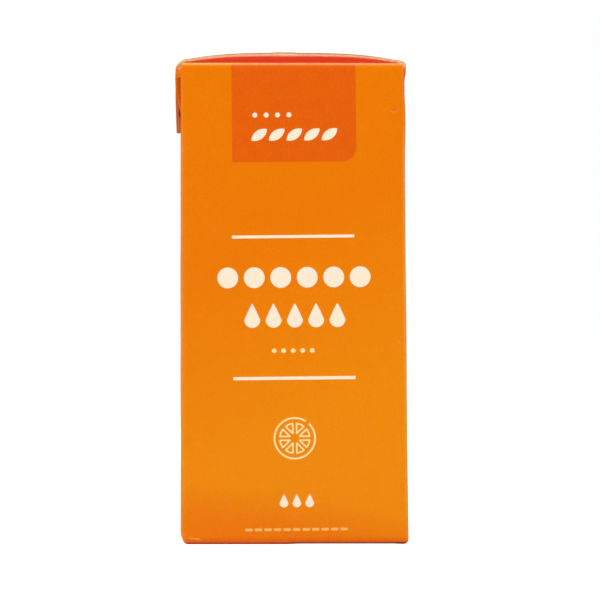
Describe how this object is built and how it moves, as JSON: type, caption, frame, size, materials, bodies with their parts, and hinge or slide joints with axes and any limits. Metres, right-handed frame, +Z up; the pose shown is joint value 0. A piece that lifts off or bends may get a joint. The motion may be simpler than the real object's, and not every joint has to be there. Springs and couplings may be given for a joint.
{
  "type": "juice carton",
  "caption": "Shut one-litre brick carton of orange juice: film-coated board, folded top fin, ears folded down on the sides, plain orange print.",
  "frame": {"origin": "middle of the base, on the table", "axes": "+Z up, +X to the right of the front panel, -Y out of the front panel"},
  "size_m": [0.094, 0.0616, 0.2008],
  "materials": {
    "printed_board": "satin film-coated printed carton board"
  },
  "bodies": {
    "root": {"carton": "printed_board"}
  },
  "joints": []
}
